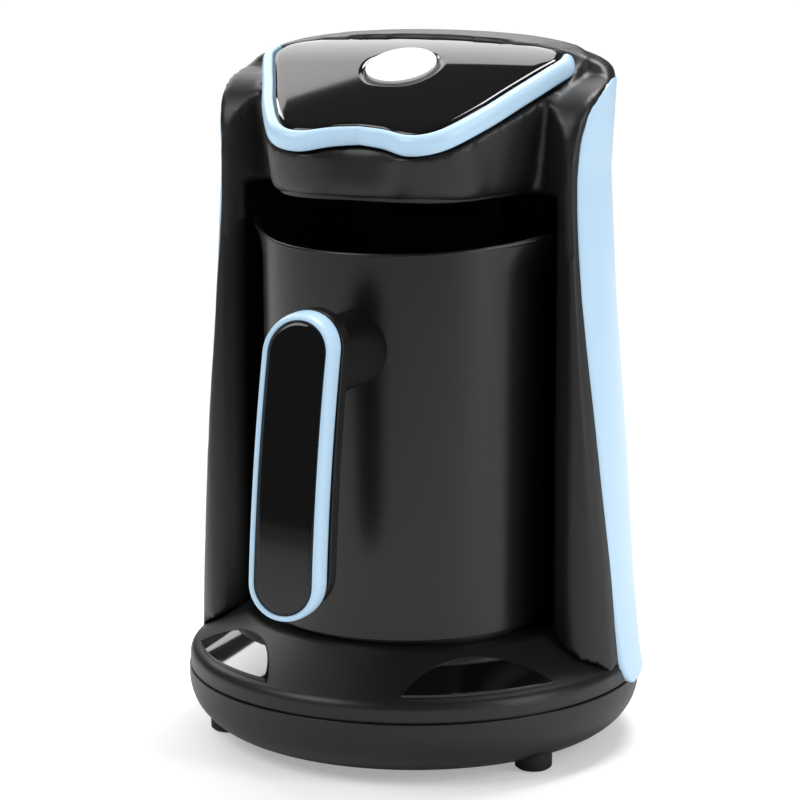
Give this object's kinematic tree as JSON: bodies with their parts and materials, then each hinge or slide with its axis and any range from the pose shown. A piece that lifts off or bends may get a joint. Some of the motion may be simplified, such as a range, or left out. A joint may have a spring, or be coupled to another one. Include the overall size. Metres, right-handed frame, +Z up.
{
  "type": "electric turkish coffee maker",
  "caption": "Electric Turkish coffee maker: round base with a hot plate, horseshoe tower, head with one push button, and a lift-out jug with a paddle handle and side spouts.",
  "frame": {"origin": "centre of the footprint of the whole object, handle included, on the plane of the feet", "axes": "+Z up; the jug's handle points along -Y, which is the front; +X is to the right of someone in front"},
  "size_m": [0.1628, 0.192, 0.2461],
  "materials": {
    "matte_black": "fine matte",
    "deck_black": "satin",
    "gloss_black": "gloss",
    "sky_blue": "gloss",
    "white": "gloss",
    "pot_coating": "satin non-stick coating",
    "rubber": "matte",
    "silicone": "matte",
    "aluminium": "brushed",
    "steel": "brushed",
    "board_green": "satin",
    "ceramic": "matte",
    "smoked_window": "gloss",
    "wire_sleeve": "matte"
  },
  "bodies": {
    "base": {"base_pan": "matte_black", "feet": "rubber", "base_screws": "steel", "base_deck": "deck_black", "deck_window_left": "gloss_black", "deck_window_right": "gloss_black", "cord_gland": "rubber", "heating_plate": "aluminium", "plate_seal": "silicone", "heating_element": "steel", "heater_bracket": "steel", "heater_screws": "steel", "thermostat": "ceramic", "thermal_fuse": "ceramic", "power_board": "board_green", "terminal_block": "ceramic", "tower_frame": "matte_black", "rear_cover": "matte_black", "top_cover": "matte_black", "tower_screws": "steel", "rear_screws": "steel", "side_trim_left": "sky_blue", "side_trim_right": "sky_blue", "head_housing": "matte_black", "head_underside": "matte_black", "head_bezel": "sky_blue", "head_panel": "gloss_black", "button_spring": "steel", "tact_switch": "matte_black", "control_board": "board_green", "boil_sensor": "ceramic", "sensor_window": "smoked_window", "wire_harness": "wire_sleeve"},
    "jug": {"jug_pot": "pot_coating", "jug_base": "steel", "handle_back": "matte_black", "handle_bezel": "sky_blue", "handle_insert": "gloss_black", "handle_screws": "steel"},
    "button": {"power_button": "white"}
  },
  "joints": [
    {"name": "jug_out", "type": "slide", "parent": "base", "child": "jug", "axis": [0, -1, 0], "range_m": [0, 0.13]},
    {"name": "button_press", "type": "slide", "parent": "base", "child": "button", "axis": [0, 0.3907, -0.9205], "range_m": [0, 0.0012], "stiffness_N_per_m": 600, "springref_m": -0.002, "deforming": ["button_spring"]}
  ]
}
